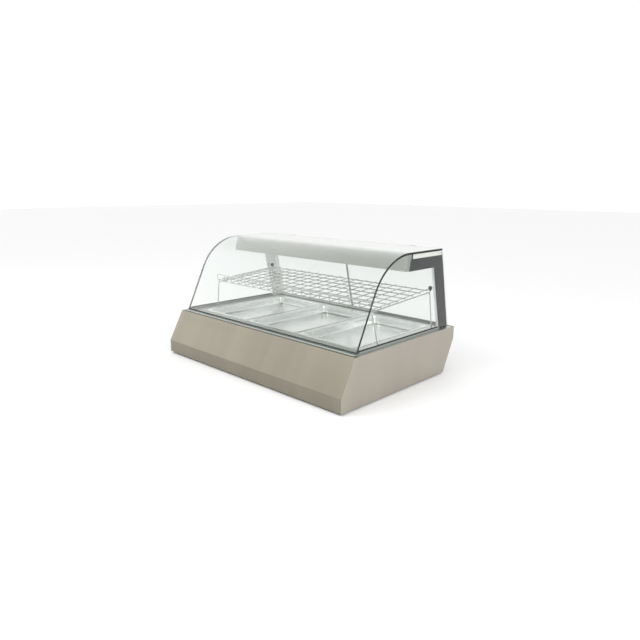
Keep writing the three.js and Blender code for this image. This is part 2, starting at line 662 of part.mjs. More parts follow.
const SHELF_HALF = 518;
const SHELF_FRONT_Y = 262;
const SHELF_DEPTH = 387;
const SHELF_FRONT_Z = 347;
const SHELF_TILT = THREE.MathUtils.degToRad(4.9);
const LONG_WIRE = 5;
const CROSS_WIRE = 4;
const LONG_WIRE_COUNT = 8;
const CROSS_WIRE_COUNT = 19;
const GALLERY_HEIGHT = 34;
const WELD = 0.6;                 // how far crossing wires sink into each other
const LEG_WIRE = 6;
const LEG_FRONT_X = 512;
const LEG_REAR_X = 531;
const LEG_FOOT_X = 540;

function shelfGrid() {
  const crossZ = (LONG_WIRE + CROSS_WIRE) / 2 - WELD;
  const wires = [];
  for (let i = 0; i < LONG_WIRE_COUNT; i += 1) {
    const y = (i / (LONG_WIRE_COUNT - 1)) * SHELF_DEPTH;
    wires.push(wire([-SHELF_HALF, y, 0], [SHELF_HALF, y, 0], LONG_WIRE));
  }
  for (let i = 0; i < CROSS_WIRE_COUNT; i += 1) {
    const x = (i / (CROSS_WIRE_COUNT - 1) - 0.5) * 2 * (SHELF_HALF - 4);
    wires.push(wire([x, -4, crossZ], [x, SHELF_DEPTH + 4, crossZ], CROSS_WIRE));
    wires.push(wire([x, -4, crossZ - 1], [x, -4, GALLERY_HEIGHT], CROSS_WIRE));
  }
  wires.push(wire([-SHELF_HALF, -4, GALLERY_HEIGHT], [SHELF_HALF, -4, GALLERY_HEIGHT], LONG_WIRE));
  // The rear wire's ends turn up and out to carry the bumpers.
  for (const sign of [-1, 1]) {
    wires.push(wire([sign * (SHELF_HALF - 2), SHELF_DEPTH, 0], [sign * 524.1, SHELF_DEPTH + 3, 6.7], LONG_WIRE));
  }
  return join(wires);
}

const shelf = add('shelf_grid', shelfGrid(), wireChrome);
shelf.position.set(0, SHELF_FRONT_Y, SHELF_FRONT_Z);
shelf.rotation.x = SHELF_TILT;

// Each leg frame is one bent wire: up at the front, along under the grid, down at the rear.
const legDrop = (LONG_WIRE + LEG_WIRE) / 2 + GAP;
const legFootZ = sillBottom + 0.8;   // the slanting cut end just clears the deck
const shelfRearZ = SHELF_FRONT_Z + SHELF_DEPTH * Math.tan(SHELF_TILT);
const SHELF_REAR_Y = SHELF_FRONT_Y + SHELF_DEPTH;
bothEnds((side, sign) => {
  const legs = [
    [sign * LEG_FOOT_X, 270, legFootZ], [sign * LEG_FRONT_X, SHELF_FRONT_Y, SHELF_FRONT_Z - legDrop],
    [sign * LEG_REAR_X, SHELF_REAR_Y, shelfRearZ - legDrop], [sign * LEG_FOOT_X, 662, legFootZ],
  ];
  add(`shelf_legs_${side}`, bentRod(legs, 10, LEG_WIRE, 56), wireChrome);
  const bumperZ = shelfRearZ + 12.8;
  const neck = new THREE.CylinderGeometry(3.5, 3.5, 14, 12).rotateX(Math.PI / 2);
  const bumper = join([
    new THREE.SphereGeometry(9, 16, 12).translate(sign * LEG_REAR_X, SHELF_REAR_Y + 3, bumperZ),
    neck.translate(sign * LEG_REAR_X, SHELF_REAR_Y + 1, bumperZ - 8),
  ]);
  add(`shelf_bumper_${side}`, bumper, blackRubber);
});

// ---- Controls and electrics ----------------------------------------------------------------

const SPINDLE_END = 766;

function thermostatKnob() {
  const profile = [
    [0, SPINDLE_END], [4, SPINDLE_END], [4, DEPTH + 1], [19, DEPTH + 1], [19, DEPTH + 4],
    [15.5, DEPTH + 6], [14.5, DEPTH + KNOB_REACH - 1], [13.5, DEPTH + KNOB_REACH], [0, DEPTH + KNOB_REACH],
  ].map(([r, y]) => new THREE.Vector2(r, y));
  const dial = new THREE.LatheGeometry(profile, 24);
  const pointer = box([-1.5, 1.5], [DEPTH + 3, DEPTH + KNOB_REACH], [8, 17]);
  return join([dial, pointer]);
}

add('thermostat_knob', thermostatKnob(), blackPlastic).position.set(KNOB_X, 0, CONTROL_Z);
add('thermostat_body', box([KNOB_X - 20, KNOB_X + 20], [732, SPINDLE_END - GAP], [158, 198]), whitePlastic);

const [displayWidth, displayHeight] = DISPLAY_SIZE;
const displayBody = box([-displayWidth / 2 + 1, displayWidth / 2 - 1], [752, DEPTH + 1],
  [-displayHeight / 2 + 1, displayHeight / 2 - 1]);
const displayBezel = box([-displayWidth / 2 - 3, displayWidth / 2 + 3], [DEPTH + GAP, DEPTH + 4],
  [-displayHeight / 2 - 3, displayHeight / 2 + 3]);
const display = add('temperature_display', join([displayBody, displayBezel]), blackPlastic);
display.position.set(DISPLAY_X, 0, CONTROL_Z);

// A rocker in its off position: the upper half stands out. Drawn round its own pivot.
const ROCKER_PIVOT_Y = 776;
const rocker = polygon([[-5, -9], [-5, 9], [2, 13], [8, 13], [5, 0], [4.8, -13], [2, -13]]);
for (const [name, x] of Object.entries(SWITCHES)) {
  add(name, alongX(rocker, -9, 9), blackPlastic).position.set(x, ROCKER_PIVOT_Y, CONTROL_Z);
}

const glandProfile = [
  [0, -14], [7.5, -14], [7.5, GAP], [12, GAP], [12, 8], [8, 16], [4, 16], [4, 10], [0, 10],
].map(([r, y]) => new THREE.Vector2(r, y));
add('cable_gland', onRearSlope(new THREE.LatheGeometry(glandProfile, 20), GLAND_X), blackPlastic);

export default displayCase;
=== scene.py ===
import math

import bmesh
import bpy
from mathutils import Matrix, Vector


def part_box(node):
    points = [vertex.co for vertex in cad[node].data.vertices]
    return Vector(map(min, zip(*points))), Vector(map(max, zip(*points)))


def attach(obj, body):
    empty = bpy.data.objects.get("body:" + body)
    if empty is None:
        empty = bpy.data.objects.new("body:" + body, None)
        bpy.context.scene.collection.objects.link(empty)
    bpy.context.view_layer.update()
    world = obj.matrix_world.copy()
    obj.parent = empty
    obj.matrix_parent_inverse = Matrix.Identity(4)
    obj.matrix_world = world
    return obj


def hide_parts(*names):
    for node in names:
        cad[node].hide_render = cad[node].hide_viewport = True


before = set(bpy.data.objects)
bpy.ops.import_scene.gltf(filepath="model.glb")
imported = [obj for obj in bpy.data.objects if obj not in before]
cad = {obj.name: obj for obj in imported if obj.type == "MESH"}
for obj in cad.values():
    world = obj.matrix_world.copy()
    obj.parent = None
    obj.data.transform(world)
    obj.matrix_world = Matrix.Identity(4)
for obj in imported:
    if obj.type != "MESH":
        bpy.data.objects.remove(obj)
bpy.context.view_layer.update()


# ---- Camera --------------------------------------------------------------------------------
# A fixed camera in front of the right-hand corner, a little above the counter and rolled by
# a third of a degree.
VIEW_AZIMUTH = math.radians(43.9)
VIEW_ELEVATION = math.radians(13.5)
VIEW_ROLL = math.radians(0.32)
VIEW_DISTANCE = 2.50843
VIEW_AIM = Vector((0.18886, -0.1, 0.25472))

towards_camera = Vector((
    math.sin(VIEW_AZIMUTH) * math.cos(VIEW_ELEVATION),
    -math.cos(VIEW_AZIMUTH) * math.cos(VIEW_ELEVATION),
    math.sin(VIEW_ELEVATION)))
level = Vector((math.cos(VIEW_AZIMUTH), math.sin(VIEW_AZIMUTH), 0))
rise = towards_camera.cross(level)
camera_right = level * math.cos(VIEW_ROLL) + rise * math.sin(VIEW_ROLL)
camera_up = rise * math.cos(VIEW_ROLL) - level * math.sin(VIEW_ROLL)
camera = bpy.data.objects.new("camera", bpy.data.cameras.new("camera"))
camera.data.lens = 31.326
camera.matrix_world = Matrix.Translation(VIEW_AIM + towards_camera * VIEW_DISTANCE) @ Matrix(
    (camera_right, camera_up, towards_camera)).transposed().to_4x4()
bpy.context.scene.collection.objects.link(camera)
bpy.context.scene.camera = camera


# ---- Studio: world, lamps and floor --------------------------------------------------------
# A white studio: a white sky with a broad soft glow low on the left, two large soft lamps
# and a plain pale floor.
GLOW_FROM = Vector((-0.95, -0.25, 0.18))
SKY_STRENGTH, GLOW_STRENGTH = 1.01, 2.2
bpy.context.scene.view_settings.view_transform = "Standard"

studio = bpy.data.worlds.new("white_studio")
studio.use_nodes = True
bpy.context.scene.world = studio
sky = studio.node_tree
glow_towards = sky.nodes.new("ShaderNodeVectorMath")
glow_towards.operation = "DOT_PRODUCT"
glow_towards.inputs[1].default_value = GLOW_FROM.normalized()
sky.links.new(sky.nodes.new("ShaderNodeTexCoord").outputs["Generated"], glow_towards.inputs[0])
soft_glow = sky.nodes.new("ShaderNodeMapRange")
soft_glow.interpolation_type = "SMOOTHSTEP"
soft_glow.inputs["From Min"].default_value = 0.80
soft_glow.inputs["From Max"].default_value = 1.0
soft_glow.inputs["To Min"].default_value = SKY_STRENGTH
soft_glow.inputs["To Max"].default_value = GLOW_STRENGTH
sky.links.new(glow_towards.outputs["Value"], soft_glow.inputs["Value"])
sky.links.new(soft_glow.outputs["Result"], sky.nodes["Background"].inputs["Strength"])
sky.nodes["Background"].inputs["Color"].default_value = (1, 1, 1, 1)


def soft_lamp(name, place, aim, size, watts):
    lamp = bpy.data.lights.new(name, "AREA")
    lamp.shape = "RECTANGLE"
    lamp.size, lamp.size_y = size
    lamp.energy = watts
    holder = bpy.data.objects.new(name, lamp)
    holder.location = place
    holder.rotation_euler = (Vector(aim) - Vector(place)).to_track_quat("-Z", "Y").to_euler()
    bpy.context.scene.collection.objects.link(holder)


soft_lamp("front_lamp", (-0.9, -2.7, 3.2), (-0.2, -0.3, 0.15), (2.0, 1.6), 32)
soft_lamp("side_lamp", (2.7, -1.0, 1.5), (0.5, -0.2, 0.12), (1.6, 1.4), 25)


def link_piece(name, mesh):
    piece = bpy.data.objects.new(name, mesh)
    bpy.context.scene.collection.objects.link(piece)
    return piece


floor_mesh = bpy.data.meshes.new("floor")
floor_builder = bmesh.new()
bmesh.ops.create_grid(floor_builder, x_segments=8, y_segments=8, size=20)
floor_builder.to_mesh(floor_mesh)
floor_builder.free()
floor = link_piece("floor", floor_mesh)
floor_paint = bpy.data.materials.new("floor_paint")
floor_paint.use_nodes = True
floor_paint.node_tree.nodes["Principled BSDF"].inputs["Base Color"].default_value = (0.88, 0.88, 0.88, 1)
floor_paint.node_tree.nodes["Principled BSDF"].inputs["Roughness"].default_value = 0.9
floor_mesh.materials.append(floor_paint)


# ---- Front panel ---------------------------------------------------------------------------
# One folded sheet of champagne-toned satin steel: a return flange under the sill, the long
# slope, the upright skirt and the flange that takes the floor. Its bends have a small radius.

def cabinet_mm(x, y, z):
    """Millimetres from the front edge and the panels' underside, turned into the frame's metres."""
    return Vector((x, y - 400, z + 8)) / 1000


def rounded_bends(points, radius, steps=6, closed=False):
    """A line of (y, z) points with an arc of this radius at each corner."""
    points = [Vector(p) for p in points]
    count = len(points)
    line = []
    for i, corner in enumerate(points):
        if not closed and i in (0, count - 1):
            line.append(corner)
            continue
        before = (points[i - 1] - corner).normalized()
        after = (points[(i + 1) % count] - corner).normalized()
        half = before.angle(after) / 2
        if half > math.radians(89.5):
            line.append(corner)
            continue
        reach = radius / math.tan(half)
        centre = corner + (before + after).normalized() * (radius / math.sin(half))
        start, end = corner + before * reach - centre, corner + after * reach - centre
        sweep = math.pi - 2 * half
        for k in range(steps + 1):
            t = k / steps
            arc = (start * math.sin((1 - t) * sweep) + end * math.sin(t * sweep)) / math.sin(sweep)
            line.append(centre + arc)
    return line


def thickened(line, thickness):
    """The same line moved towards its left side by the sheet's thickness."""
    moved = []
    for i, point in enumerate(line):
        here = max(i, 1)
        step = (line[here] - line[here - 1]).normalized()
        there = min(i, len(line) - 2)
        next_step = (line[there + 1] - line[there]).normalized()
        first, second = Vector((-step.y, step.x)), Vector((-next_step.y, next_step.x))
        moved.append(point + (first + second) * (thickness / (1 + first.dot(second))))
    return moved


def smooth_with_sharp_edges(mesh, degrees=32):
    mesh.shade_smooth()
    mesh.set_sharp_from_angle(angle=math.radians(degrees))


def built_piece(name, vertices, faces, finish, body, stands_for=(), degrees=32):
    mesh = bpy.data.meshes.new(name)
    mesh.from_pydata([tuple(v) for v in vertices], [], faces)
    mesh.validate()
    builder = bmesh.new()
    builder.from_mesh(mesh)
    bmesh.ops.recalc_face_normals(builder, faces=builder.faces)
    builder.to_mesh(mesh)
    builder.free()
    smooth_with_sharp_edges(mesh, degrees)
    mesh.materials.append(finish)
    piece = link_piece(name, mesh)
    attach(piece, body)
    if stands_for:
        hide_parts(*stands_for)
    return piece


def eased_edges(piece, width_mm, segments=2, degrees=40):
    """Takes the sharpness off a piece's edges, as deburring does."""
    bevel = piece.modifiers.new("eased_edges", "BEVEL")
    bevel.width = width_mm / 1000
    bevel.segments = segments
    bevel.limit_method = "ANGLE"
    bevel.angle_limit = math.radians(degrees)
    bevel.harden_normals = True
    return piece


def strip_along_x(name, outer, inner, x0, x1, finish, body, stands_for=(), pieces_along=1):
    """A strip between two matching lines of (y, z) points, drawn from x0 to x1."""
    count = len(outer)
    vertices, faces = [], []
    columns = [x0 + (x1 - x0) * i / pieces_along for i in range(pieces_along + 1)]
    for x in columns:
        vertices += [cabinet_mm(x, *p) for p in outer] + [cabinet_mm(x, *p) for p in inner]
    ring = 2 * count

    def at(column, layer, i):
        return column * ring + layer * count + i
    last = len(columns) - 1
    for i in range(count - 1):
        for c in range(last):
            faces.append((at(c, 0, i), at(c, 0, i + 1), at(c + 1, 0, i + 1), at(c + 1, 0, i)))
            faces.append((at(c, 1, i + 1), at(c, 1, i), at(c + 1, 1, i), at(c + 1, 1, i + 1)))
        faces.append((at(0, 0, i + 1), at(0, 0, i), at(0, 1, i), at(0, 1, i + 1)))
        faces.append((at(last, 0, i), at(last, 0, i + 1), at(last, 1, i + 1), at(last, 1, i)))
    for c in range(last):
        faces.append((at(c, 0, 0), at(c + 1, 0, 0), at(c + 1, 1, 0), at(c, 1, 0)))
        end = count - 1
        faces.append((at(c + 1, 0, end), at(c, 0, end), at(c, 1, end), at(c + 1, 1, end)))
    return built_piece(name, vertices, faces, finish, body, stands_for)


def new_effect(name, inputs, outputs):
    """An empty shader node group with these inputs and outputs."""
    group = bpy.data.node_groups.new(name, "ShaderNodeTree")
    for label, kind, value in inputs:
        socket = group.interface.new_socket(label, in_out="INPUT", socket_type=kind)
        socket.default_value = value
    for label, kind in outputs:
        group.interface.new_socket(label, in_out="OUTPUT", socket_type=kind)
    return group, group.nodes.new("NodeGroupInput"), group.nodes.new("NodeGroupOutput")


def maths(tree, operation, first, second=None, clamp=False):
    """A Math node's result. Numbers are set on its sockets, and sockets are linked."""
    node = tree.nodes.new("ShaderNodeMath")
    node.operation = operation
    node.use_clamp = clamp
    for socket, value in zip(node.inputs, (first, second)):
        if isinstance(value, (int, float)):
            socket.default_value = value
        elif value is not None:
            tree.links.new(value, socket)
    return node.outputs[0]


def noise(tree, vector, scale, detail, roughness=0.5):
    node = tree.nodes.new("ShaderNodeTexNoise")
    node.inputs["Scale"].default_value = scale
    node.inputs["Detail"].default_value = detail
    node.inputs["Roughness"].default_value = roughness
    tree.links.new(vector, node.inputs["Vector"])
    return node.outputs["Fac"]


def grain_effect():
    """Brushing or rolling lines: noise drawn out by different amounts along each axis."""
    group, given, result = new_effect(
        "grain", [("Lines Per Metre", "NodeSocketVector", (900, 900, 900))],
        [("Lines", "NodeSocketFloat"), ("Bands", "NodeSocketFloat")])
    place = group.nodes.new("ShaderNodeTexCoord").outputs["Object"]
    stretched = group.nodes.new("ShaderNodeVectorMath")
    stretched.operation = "MULTIPLY"
    group.links.new(place, stretched.inputs[0])
    group.links.new(given.outputs["Lines Per Metre"], stretched.inputs[1])
    group.links.new(noise(group, stretched.outputs[0], 1.0, 3), result.inputs["Lines"])
    group.links.new(noise(group, stretched.outputs[0], 0.06, 2), result.inputs["Bands"])
    return group


def patches_effect():
    """Broad uneven patches and finer specks of handling, from two sizes of noise."""
    group, given, result = new_effect(
        "patches", [("Patches Per Metre", "NodeSocketFloat", 5.0),
                    ("Specks Per Metre", "NodeSocketFloat", 160.0)],
        [("Patches", "NodeSocketFloat"), ("Specks", "NodeSocketFloat")])
    place = group.nodes.new("ShaderNodeTexCoord").outputs["Object"]
    for label in ("Patches", "Specks"):
        node = group.nodes.new("ShaderNodeTexNoise")
        node.inputs["Detail"].default_value = 3
        group.links.new(place, node.inputs["Vector"])
        group.links.new(given.outputs[label + " Per Metre"], node.inputs["Scale"])
        group.links.new(node.outputs["Fac"], result.inputs[label])
    return group


def edge_rub_effect():
    """Where hands and cloths rub: a thin broken line along the edges."""
    group, given, result = new_effect(
        "edge_rub", [("Width", "NodeSocketFloat", 0.0015)], [("Rub", "NodeSocketFloat")])
    rounded = group.nodes.new("ShaderNodeBevel")
    rounded.samples = 4
    group.links.new(given.outputs["Width"], rounded.inputs["Radius"])
    facing = group.nodes.new("ShaderNodeNewGeometry")
    likeness = group.nodes.new("ShaderNodeVectorMath")
    likeness.operation = "DOT_PRODUCT"
    group.links.new(rounded.outputs["Normal"], likeness.inputs[0])
    group.links.new(facing.outputs["Normal"], likeness.inputs[1])
    turned_away = maths(group, "SUBTRACT", 1.0, likeness.outputs["Value"])
    edge = maths(group, "MULTIPLY", turned_away, 4.0, clamp=True)
    broken = noise(group, group.nodes.new("ShaderNodeTexCoord").outputs["Object"], 70, 3)
    group.links.new(maths(group, "MULTIPLY", edge, broken), result.inputs["Rub"])
    return group


grain_group = grain_effect()
patches_group = patches_effect()
edge_rub_group = edge_rub_effect()


def placed(tree, group, **values):
    node = tree.nodes.new("ShaderNodeGroup")
    node.node_tree = group
    for label, value in values.items():
        node.inputs[label.replace("_", " ")].default_value = value
    return node


def between(tree, mask, first, second):
    """A colour between two, by a mask. Each of them is a plain colour or a socket."""
    node = tree.nodes.new("ShaderNodeMix")
    node.data_type = "RGBA"
    tree.links.new(mask, node.inputs["Factor"])
    for socket, colour in ((node.inputs[6], first), (node.inputs[7], second)):
        if isinstance(colour, tuple):
            socket.default_value = (*colour, 1)
        else:
            tree.links.new(colour, socket)
    return node.outputs[2]


def ranged(tree, value, low, high, from_low=0.3, from_high=0.7):
    node = tree.nodes.new("ShaderNodeMapRange")
    node.inputs["From Min"].default_value = from_low
    node.inputs["From Max"].default_value = from_high
    node.inputs["To Min"].default_value = low
    node.inputs["To Max"].default_value = high
    tree.links.new(value, node.inputs["Value"])
    return node.outputs["Result"]


def solid_finish(name, colour, shade, rubbed, metallic, rough, lines, bump_mm, patches=5.0, specks=160.0,
                 rub_width=0.0015, coat=0.0, specular=0.5, streaks=None):
    """A metal, paint, rubber or plastic: two tones, rubbed edges, uneven gloss and a fine relief.
    rough is (lowest, highest); lines is how many grain lines per metre run across each axis, and
    streaks the same for soft wide bands of painted reflection mixed into the tone."""
    finish = bpy.data.materials.new(name)
    finish.use_nodes = True
    tree = finish.node_tree
    shader = tree.nodes["Principled BSDF"]
    shader.inputs["Metallic"].default_value = metallic
    shader.inputs["Coat Weight"].default_value = coat
    shader.inputs["Specular IOR Level"].default_value = specular
    grain = placed(tree, grain_group, Lines_Per_Metre=lines)
    uneven = placed(tree, patches_group, Patches_Per_Metre=patches, Specks_Per_Metre=specks)
    rub = placed(tree, edge_rub_group, Width=rub_width)
    tone = maths(tree, "ADD", maths(tree, "MULTIPLY", uneven.outputs["Patches"], 0.6),
                 maths(tree, "MULTIPLY", grain.outputs["Lines"], 0.4))
    # streaks paints soft wide bands of painted reflection into the base colour, on top of the real patches
    # and grain.
    if streaks:
        painted_reflection_bands = placed(tree, grain_group, Lines_Per_Metre=streaks)
        tone = maths(tree, "ADD", maths(tree, "MULTIPLY", tone, 0.45),
                     maths(tree, "MULTIPLY", painted_reflection_bands.outputs["Lines"], 0.55))
    body_colour = between(tree, ranged(tree, tone, 0.0, 1.0), colour, shade)
    tree.links.new(between(tree, rub.outputs["Rub"], body_colour, rubbed), shader.inputs["Base Color"])
    gloss = maths(tree, "ADD", maths(tree, "MULTIPLY", uneven.outputs["Specks"], 0.5),
                  maths(tree, "MULTIPLY", grain.outputs["Bands"], 0.5))
    tree.links.new(ranged(tree, gloss, *rough), shader.inputs["Roughness"])
    relief = tree.nodes.new("ShaderNodeBump")
    relief.inputs["Strength"].default_value = 1.0
    relief.inputs["Distance"].default_value = bump_mm / 1000
    tree.links.new(grain.outputs["Lines"], relief.inputs["Height"])
    tree.links.new(relief.outputs["Normal"], shader.inputs["Normal"])
    return finish


# The streaks here are painted reflection: soft upright bands of lighter and darker tone across the front.
champagne_steel = solid_finish(
    "champagne_steel", (0.285, 0.262, 0.209), (0.238, 0.221, 0.175), (0.50, 0.48, 0.42), 0.85, (0.34, 0.46),
    (25, 25, 1400), 0.01, patches=3.0, streaks=(13, 1.5, 1.5))

SHEET = 1.5
PANEL_END = 588.2
front_bends = rounded_bends([(98, 205), (78, 205), (0, 60), (0, 0), (25, 0)], 3.0)
front_panel = strip_along_x("front_panel_sheet", front_bends, thickened(front_bends, SHEET),
                            -PANEL_END, PANEL_END, champagne_steel, "cabinet",
                            ["front_panel"], pieces_along=8)
eased_edges(front_panel, 0.3)


# ---- End panels ----------------------------------------------------------------------------
# Flat plates of the same steel that close the base at both ends, with deburred edges. Their
# colour is painted lighter than the front's, as painted light, and their streaks are painted reflection
# bands.

def dressed(node, finish, edge_mm, segments=2, degrees=30, pierced=False):
    """Gives a carried-over solid its finish and takes the sharpness off its edges. A pierced
    plate keeps its triangles, because one face can't go round its openings."""
    piece = cad[node]
    piece.data.materials.clear()
    piece.data.materials.append(finish)
    if "custom_normal" in piece.data.attributes:
        piece.data.attributes.remove(piece.data.attributes["custom_normal"])
    piece.data.shade_smooth()
    weld = piece.modifiers.new("one_skin", "WELD")
    weld.merge_threshold = 0.00001
    if not pierced:
        flat = piece.modifiers.new("whole_faces", "DECIMATE")
        flat.decimate_type = "DISSOLVE"
        flat.angle_limit = math.radians(0.5)
    return eased_edges(piece, edge_mm, segments, degrees)


# The same steel as the front, painted lighter as painted light on the end panels; its streaks are painted
# reflection bands.
end_panel_steel_painted_light = solid_finish(
    "end_panel_steel_painted_light", (0.435, 0.400, 0.346), (0.39, 0.36, 0.312), (0.58, 0.56, 0.51), 0.8, (0.34, 0.46),
    (1400, 25, 1400), 0.01, patches=3.0, streaks=(2, 9, 1.5))
for side in ("left", "right"):
    dressed(f"{side}_end_panel", end_panel_steel_painted_light, 0.4, degrees=50)


# ---- Rear panel and floor ------------------------------------------------------------------
# The rear panel is folded like the front, with openings for the controls and a row of vent
# slots. The floor is a plain plate of stainless steel between the lower flanges.
dressed("rear_panel", champagne_steel, 0.25, segments=1, degrees=50, pierced=True)
stainless = solid_finish(
    "stainless", (0.58, 0.58, 0.575), (0.50, 0.50, 0.495), (0.75, 0.75, 0.74), 0.95, (0.22, 0.36),
    (30, 1200, 1200), 0.008)
dressed("base_floor", stainless, 0.3)


def turned(name, profile, place, axis, finish, body, stands_for=(), sides=40, wave=None):
    """A turned piece: (radius, height) points in mm, spun round an axis that starts at place."""
    turn = Vector((0, 0, 1)).rotation_difference(Vector(axis)).to_matrix()
    vertices, faces, rings = [], [], []
    for radius, height in profile:
        ring = []
        if radius == 0:
            vertices.append(turn @ (Vector((0, 0, height)) / 1000) + place)
            ring = [len(vertices) - 1] * sides
        else:
            for k in range(sides):
                angle = 2 * math.pi * k / sides
                r = radius * (wave(angle, radius, height) if wave else 1)
                point = Vector((r * math.cos(angle), r * math.sin(angle), height)) / 1000
                vertices.append(turn @ point + place)
                ring.append(len(vertices) - 1)
        rings.append(ring)
    for low, high in zip(rings, rings[1:]):
        for k in range(sides):
            n = (k + 1) % sides
            face = []
            for v in (low[k], low[n], high[n], high[k]):
                if v not in face:
                    face.append(v)
            faces.append(tuple(face))
    for end in (rings[0], rings[-1]):
        if len(set(end)) > 1:
            faces.append(tuple(end))
    return built_piece(name, vertices, faces, finish, body, stands_for)


# ---- Feet ----------------------------------------------------------------------------------
# Moulded black rubber feet, ribbed round the side, each held to the floor by a screw that
# sits in a hollow under the foot.
black_rubber = solid_finish(
    "black_rubber", (0.025, 0.026, 0.026), (0.04, 0.041, 0.04), (0.075, 0.075, 0.072), 0.0, (0.65, 0.85),
    (700, 700, 700), 0.02, specular=0.35)
for end in ("front", "rear"):
    for side in ("left", "right"):
        node = f"foot_{end}_{side}"
        low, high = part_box(node)
        middle = Vector(((low.x + high.x) / 2, (low.y + high.y) / 2, low.z))
        turned(f"{node}_rubber", [
            (0, 3.0), (6.5, 3.0), (7.2, 2.6), (7.4, 0.4), (8.0, 0.0), (15.0, 0.0), (15.9, 0.5), (16.3, 1.4),
            (16.5, 2.4), (16.0, 2.8), (16.1, 3.4), (16.9, 3.8), (17.1, 4.8), (16.6, 5.2), (16.7, 5.8),
            (17.5, 6.2), (17.9, 7.0), (17.5, 7.7), (0, 7.7),
        ], middle, (0, 0, 1), black_rubber, "cabinet", [node])
        turned(f"{node}_screw", [
            (0, 0.9), (1.2, 0.9), (1.5, 1.9), (1.9, 1.9), (3.4, 1.6), (4.6, 2.4), (4.8, 3.05), (0, 3.05),
        ], middle, (0, 0, 1), stainless, "cabinet", sides=24)


# ---- Heated well: deck, tub, insulation and heating elements --------------------------------
# The stainless deck has three openings for pans. Under it hangs a pressed tub wrapped in
# mineral wool, with two bent tubular heating elements just above its floor.
deck_steel = solid_finish(
    "deck_steel", (0.66, 0.665, 0.65), (0.57, 0.575, 0.56), (0.8, 0.8, 0.79), 0.9, (0.24, 0.38),
    (30, 1200, 1200), 0.008)
dressed("deck", deck_steel, 0.3, degrees=50, pierced=True)
dressed("well_tub", stainless, 0.3, degrees=50, pierced=True)
mineral_wool = solid_finish(
    "mineral_wool", (0.50, 0.40, 0.20), (0.62, 0.52, 0.30), (0.66, 0.58, 0.38), 0.0, (0.85, 1.0),
    (350, 350, 900), 0.8, specular=0.1)
dressed("well_insulation", mineral_wool, 0.8, degrees=50, pierced=True)


def bent_line(corners, bend, steps=8):
    """A 3-D line of mm points with an arc of this radius at each corner."""
    corners = [Vector(c) for c in corners]
    line = [corners[0]]
    for before, corner, after in zip(corners, corners[1:], corners[2:]):
        inward, outward = (before - corner).normalized(), (after - corner).normalized()
        half = inward.angle(outward) / 2
        reach = min(bend / math.tan(half), (before - corner).length * 0.49, (after - corner).length * 0.49)
        radius = reach * math.tan(half)
        centre = corner + (inward + outward).normalized() * (radius / math.sin(half))
        start, end = corner + inward * reach - centre, corner + outward * reach - centre
        sweep = math.pi - 2 * half
        for k in range(steps + 1):
            t = k / steps
            spoke = start * math.sin((1 - t) * sweep) + end * math.sin(t * sweep)
            line.append(centre + spoke / math.sin(sweep))
    return line + [corners[-1]]


def wires(name, lines, diameter, finish, body, stands_for=(), resolution=3):
    """Round wires or rods that follow these lines of points in metres."""
    curve = bpy.data.curves.new(name, "CURVE")
    curve.dimensions = "3D"
    curve.bevel_depth = diameter / 2000
    curve.bevel_resolution = resolution
    curve.use_fill_caps = True
    for line in lines:
        spline = curve.splines.new("POLY")
        spline.points.add(len(line) - 1)
        for point, place in zip(spline.points, line):
            point.co = (*place, 1)
        spline.use_smooth = True
    curve.materials.append(finish)
    piece = bpy.data.objects.new(name, curve)
    bpy.context.scene.collection.objects.link(piece)
    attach(piece, body)
    if stands_for:
        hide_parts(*stands_for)
    return piece


heater_sheath = solid_finish(
    "heater_sheath", (0.16, 0.15, 0.14), (0.24, 0.20, 0.17), (0.32, 0.28, 0.24), 0.8, (0.40, 0.62),
    (120, 120, 120), 0.02, patches=12)
for side, sign in (("left", -1), ("right", 1)):
    loop = [(sign * x, y, 95) for x, y in (
        (440, 728), (440, 250), (60, 250), (60, 400), (320, 400), (320, 728))]
    wires(f"heating_element_{side}_tube", [[cabinet_mm(*p) for p in bent_line(loop, 40)]], 8.5,
          heater_sheath, "cabinet", [f"heating_element_{side}"])


# ---- Food pans -----------------------------------------------------------------------------
# Three deep-drawn stainless pans of the standard 530 x 325 mm size, with a rolled rim,
# rounded corners, slightly drawn-in walls and a soft radius round the bottom.
pan_steel = solid_finish(
    "pan_steel", (0.80, 0.81, 0.80), (0.70, 0.71, 0.705), (0.9, 0.9, 0.9), 0.9, (0.16, 0.30),
    (60, 900, 900), 0.003, patches=7)


def rounded_ring(width, length, radius, steps=8):
    ring = []
    for quarter, (sx, sy) in enumerate(((1, -1), (1, 1), (-1, 1), (-1, -1))):
        for k in range(steps + 1):
            angle = math.radians(-90 + 90 * quarter + 90 * k / steps)
            ring.append((sx * (width / 2 - radius) + radius * math.cos(angle),
                         sy * (length / 2 - radius) + radius * math.sin(angle)))
    return ring


